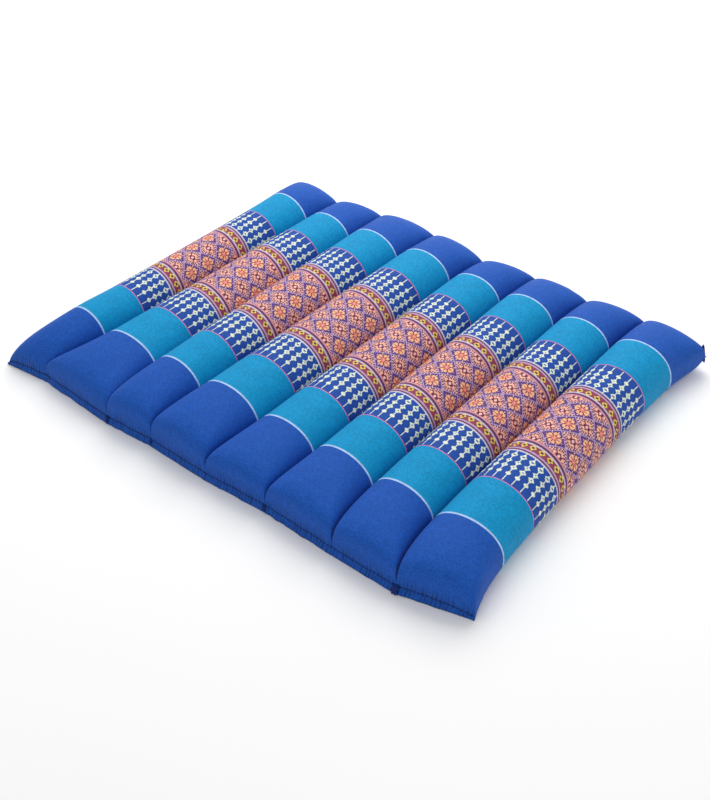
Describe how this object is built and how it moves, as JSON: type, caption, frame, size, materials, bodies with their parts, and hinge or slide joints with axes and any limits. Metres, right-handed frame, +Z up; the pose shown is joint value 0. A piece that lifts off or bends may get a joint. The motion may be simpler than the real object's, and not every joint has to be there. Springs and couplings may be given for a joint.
{
  "type": "flat meditation cushion",
  "caption": "Flat rectangular sitting cushion of filled fabric channels side by side, sewn shut at both ends with a narrow hanging hem, for sitting or kneeling on the floor.",
  "frame": {"origin": "centre of the cushion's outline, on the floor that it lies on", "axes": "+X across the channels, +Y along the channels towards the back hem, +Z up out of the sitting face"},
  "size_m": [0.74, 0.604, 0.065],
  "materials": {
    "woven_cotton": "smooth woven cotton: plain blue ends, turquoise bands, and a patterned middle in coral, navy and cream"
  },
  "bodies": {
    "root": {"cushion": "woven_cotton"}
  },
  "joints": []
}
